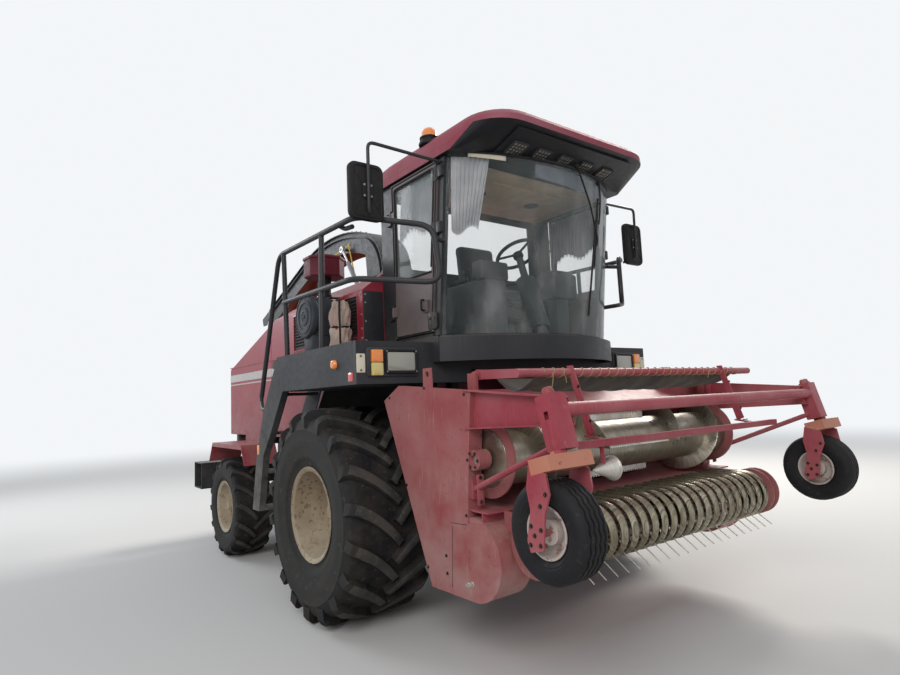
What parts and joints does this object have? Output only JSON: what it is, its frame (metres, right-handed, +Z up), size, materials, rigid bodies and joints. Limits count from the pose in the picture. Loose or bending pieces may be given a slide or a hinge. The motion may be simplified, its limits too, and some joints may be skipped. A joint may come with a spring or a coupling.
{
  "type": "forage harvester",
  "caption": "Self-propelled forage harvester with a cab, a rear engine under a hood, a turning curved spout and a raised pick-up header on gauge wheels.",
  "frame": {"origin": "middle of the bounding box on the ground", "axes": "+X forwards, from the spout's tip to the header; +Y to the driver's left; +Z up"},
  "size_m": [7.6352, 3.4, 3.792],
  "materials": {
    "chassis_paint": "satin",
    "axle_paint": "dull",
    "engine_paint": "dull",
    "hood_paint": "weathered satin",
    "header_paint": "scratched satin",
    "black_paint": "satin",
    "grey_paint": "satin",
    "rim_paint": "satin",
    "tyre_rubber": "matt",
    "lamp_lens": "gloss",
    "cab_plastic": "matt",
    "seat_cloth": "woven",
    "window_glass": "clear",
    "worn_steel": "worn",
    "rod_chrome": "polished",
    "guard_cloth": "coarse weave",
    "extinguisher_shell": "faded"
  },
  "bodies": {
    "chassis": {"chassis_frame": "chassis_paint", "chopper_housing": "axle_paint", "bumper": "chassis_paint", "wheel_arches": "chassis_paint", "front_axle": "axle_paint", "rear_axle": "axle_paint", "engine_block": "engine_paint", "engine_hood": "hood_paint", "hood_grilles": "black_paint", "rear_mudguards": "hood_paint", "front_fenders": "chassis_paint", "platforms": "chassis_paint", "handrails": "black_paint", "front_panel": "chassis_paint", "lamps": "lamp_lens", "cab_floor": "chassis_paint", "cab_frame": "chassis_paint", "cab_glass": "window_glass", "cab_roof": "hood_paint", "mirrors": "black_paint", "seat": "seat_cloth", "cab_controls": "cab_plastic", "air_cleaner": "black_paint", "extinguisher": "extinguisher_shell"},
    "door_left": {"door_left": "grey_paint", "door_left_glass": "window_glass"},
    "door_right": {"door_right": "grey_paint", "door_right_glass": "window_glass"},
    "front_wheel_left": {"front_tyre_left": "tyre_rubber", "front_rim_left": "rim_paint"},
    "front_wheel_right": {"front_tyre_right": "tyre_rubber", "front_rim_right": "rim_paint"},
    "knuckle_left": {"knuckle_left": "axle_paint"},
    "knuckle_right": {"knuckle_right": "axle_paint"},
    "rear_wheel_left": {"rear_tyre_left": "tyre_rubber", "rear_rim_left": "rim_paint"},
    "rear_wheel_right": {"rear_tyre_right": "tyre_rubber", "rear_rim_right": "rim_paint"},
    "spout_turret": {"spout_turret": "chassis_paint"},
    "spout": {"spout": "black_paint"},
    "spout_flap": {"spout_flap": "black_paint"},
    "spout_cylinders": {"spout_cylinders": "grey_paint"},
    "spout_rods": {"spout_rods": "rod_chrome"},
    "header": {"header_sides": "header_paint", "header_trough": "header_paint", "header_arms": "header_paint", "feeder": "header_paint", "pickup_bands": "worn_steel"},
    "header_auger": {"header_auger": "worn_steel"},
    "pickup_reel": {"pickup_reel": "worn_steel"},
    "wind_guard": {"wind_guard": "header_paint", "wind_cloth": "guard_cloth"},
    "castor_left": {"castor_left": "header_paint"},
    "castor_right": {"castor_right": "header_paint"},
    "gauge_wheel_left": {"gauge_wheel_left": "tyre_rubber"},
    "gauge_wheel_right": {"gauge_wheel_right": "tyre_rubber"},
    "lift_cylinders": {"lift_cylinders": "grey_paint"},
    "lift_rods": {"lift_rods": "rod_chrome"}
  },
  "joints": [
    {"name": "front_wheel_left_spin", "type": "hinge", "parent": "chassis", "child": "front_wheel_left", "pos_m": [1.22764, 1.34, 0.8], "axis": [0, 1, 0], "continuous": true},
    {"name": "steer_left", "type": "hinge", "parent": "chassis", "child": "knuckle_left", "pos_m": [-1.43236, 1.05, 0.5375], "axis": [0, 0, 1], "range_deg": [-35, 35]},
    {"name": "rear_wheel_left_spin", "type": "hinge", "parent": "knuckle_left", "child": "rear_wheel_left", "pos_m": [-1.43236, 1.315, 0.5375], "axis": [0, 1, 0], "continuous": true},
    {"name": "door_left_hinge", "type": "hinge", "parent": "chassis", "child": "door_left", "pos_m": [1.42764, 0.968, 2.75], "axis": [0, 0, 1], "range_deg": [0, 50]},
    {"name": "front_wheel_right_spin", "type": "hinge", "parent": "chassis", "child": "front_wheel_right", "pos_m": [1.22764, -1.34, 0.8], "axis": [0, 1, 0], "continuous": true},
    {"name": "steer_right", "type": "hinge", "parent": "chassis", "child": "knuckle_right", "pos_m": [-1.43236, -1.05, 0.5375], "axis": [0, 0, 1], "range_deg": [-35, 35]},
    {"name": "rear_wheel_right_spin", "type": "hinge", "parent": "knuckle_right", "child": "rear_wheel_right", "pos_m": [-1.43236, -1.315, 0.5375], "axis": [0, 1, 0], "continuous": true},
    {"name": "door_right_hinge", "type": "hinge", "parent": "chassis", "child": "door_right", "pos_m": [1.42764, -0.968, 2.75], "axis": [0, 0, -1], "range_deg": [0, 50]},
    {"name": "header_lift", "type": "hinge", "parent": "chassis", "child": "header", "pos_m": [0.97764, 0, 1], "axis": [0, 1, 0], "range_deg": [0, 14.5]},
    {"name": "header_auger_spin", "type": "hinge", "parent": "header", "child": "header_auger", "pos_m": [2.81764, 0, 1.26], "axis": [0, 1, 0], "continuous": true},
    {"name": "pickup_reel_spin", "type": "hinge", "parent": "header", "child": "pickup_reel", "pos_m": [3.18764, 0, 0.81], "axis": [0, 1, 0], "continuous": true},
    {"name": "wind_guard_hinge", "type": "hinge", "parent": "header", "child": "wind_guard", "pos_m": [2.74764, 0, 1.765], "axis": [0, -1, 0], "range_deg": [0, 55]},
    {"name": "castor_left_swivel", "type": "hinge", "parent": "header", "child": "castor_left", "pos_m": [3.61564, 1.45, 1.34], "axis": [-0.2504, 0, 0.9681], "range_deg": [-35, 35]},
    {"name": "gauge_wheel_left_spin", "type": "hinge", "parent": "castor_left", "child": "gauge_wheel_left", "pos_m": [3.57764, 1.45, 0.99], "axis": [0, 1, 0], "continuous": true},
    {"name": "castor_right_swivel", "type": "hinge", "parent": "header", "child": "castor_right", "pos_m": [3.61564, -1.45, 1.34], "axis": [-0.2504, 0, 0.9681], "range_deg": [-35, 35]},
    {"name": "gauge_wheel_right_spin", "type": "hinge", "parent": "castor_right", "child": "gauge_wheel_right", "pos_m": [3.57764, -1.45, 0.99], "axis": [0, 1, 0], "continuous": true},
    {"name": "lift_cylinder_swing", "type": "hinge", "parent": "chassis", "child": "lift_cylinders", "pos_m": [1.39764, 0, 0.59], "axis": [0, 1, 0], "range_deg": [0, 22]},
    {"name": "lift_rod_slide", "type": "slide", "parent": "lift_cylinders", "child": "lift_rods", "axis": [0.9687, 0, 0.2484], "range_m": [-0.115, 0]},
    {"name": "spout_turn", "type": "hinge", "parent": "chassis", "child": "spout_turret", "pos_m": [-0.21236, 0, 3.04], "axis": [0, 0, 1], "range_deg": [-100, 100]},
    {"name": "spout_lift", "type": "hinge", "parent": "spout_turret", "child": "spout", "pos_m": [0.02764, 0, 3.052], "axis": [0, 1, 0], "range_deg": [0, 20]},
    {"name": "spout_flap_hinge", "type": "hinge", "parent": "spout", "child": "spout_flap", "pos_m": [-3.48855, 0, 3.10464], "axis": [0, -1, 0], "range_deg": [0, 50]},
    {"name": "spout_cylinder_swing", "type": "hinge", "parent": "spout_turret", "child": "spout_cylinders", "pos_m": [-0.46236, 0, 2.93], "axis": [0, 1, 0], "range_deg": [0, 23]},
    {"name": "spout_rod_slide", "type": "slide", "parent": "spout_cylinders", "child": "spout_rods", "axis": [-0.5839, 0, 0.8118], "range_m": [0, 0.18]}
  ],
  "couplings": [
    {"joint": "steer_right", "follows": "steer_left", "ratio": 1},
    {"joint": "lift_cylinder_swing", "follows": "header_lift", "ratio": 1.4983},
    {"joint": "lift_rod_slide", "follows": "header_lift", "m_per_rad": -0.4457},
    {"joint": "spout_cylinder_swing", "follows": "spout_lift", "ratio": 1.1385},
    {"joint": "spout_rod_slide", "follows": "spout_lift", "m_per_rad": 0.4904}
  ]
}
